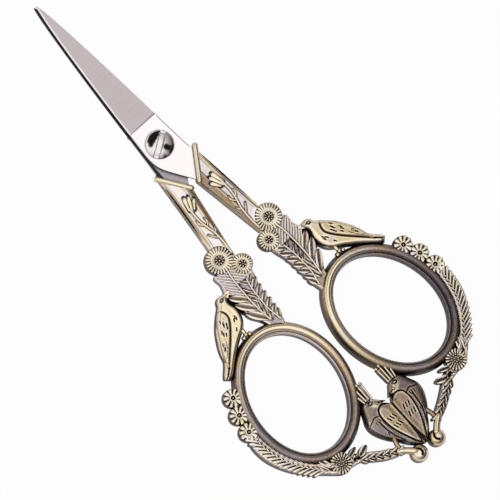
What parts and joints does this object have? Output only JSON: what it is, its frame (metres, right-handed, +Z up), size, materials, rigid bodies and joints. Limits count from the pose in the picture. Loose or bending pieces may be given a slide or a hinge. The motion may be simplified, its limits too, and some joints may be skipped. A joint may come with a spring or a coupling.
{
  "type": "embroidery scissors",
  "caption": "Small embroidery scissors with slim ground blades on a domed pivot screw and cast openwork bows of songbirds, flowers and leaves.",
  "frame": {"origin": "under the middle of the overall length and width, on the plane that the closed scissors lie on", "axes": "+Y from the bows to the tips, +Z up through the face that the picture shows, +X towards the front half's bow"},
  "size_m": [0.059, 0.1288, 0.0044],
  "materials": {
    "blade_steel": "satin ground above the shoulder, bright polished below it",
    "antique_bronze": "cast, antiqued: pale gold on the high spots, brown to near black in the recesses",
    "polished_steel": "mirror polished"
  },
  "bodies": {
    "rear_half": {"rear_blade": "blade_steel", "rear_handle": "antique_bronze", "pivot_screw": "polished_steel"},
    "front_half": {"front_blade": "blade_steel", "front_handle": "antique_bronze"}
  },
  "joints": [
    {"name": "blade_pivot", "type": "hinge", "parent": "rear_half", "child": "front_half", "pos_m": [0, 0.02435, 0.002], "axis": [0, 0, 1], "range_deg": [0, 90]}
  ]
}
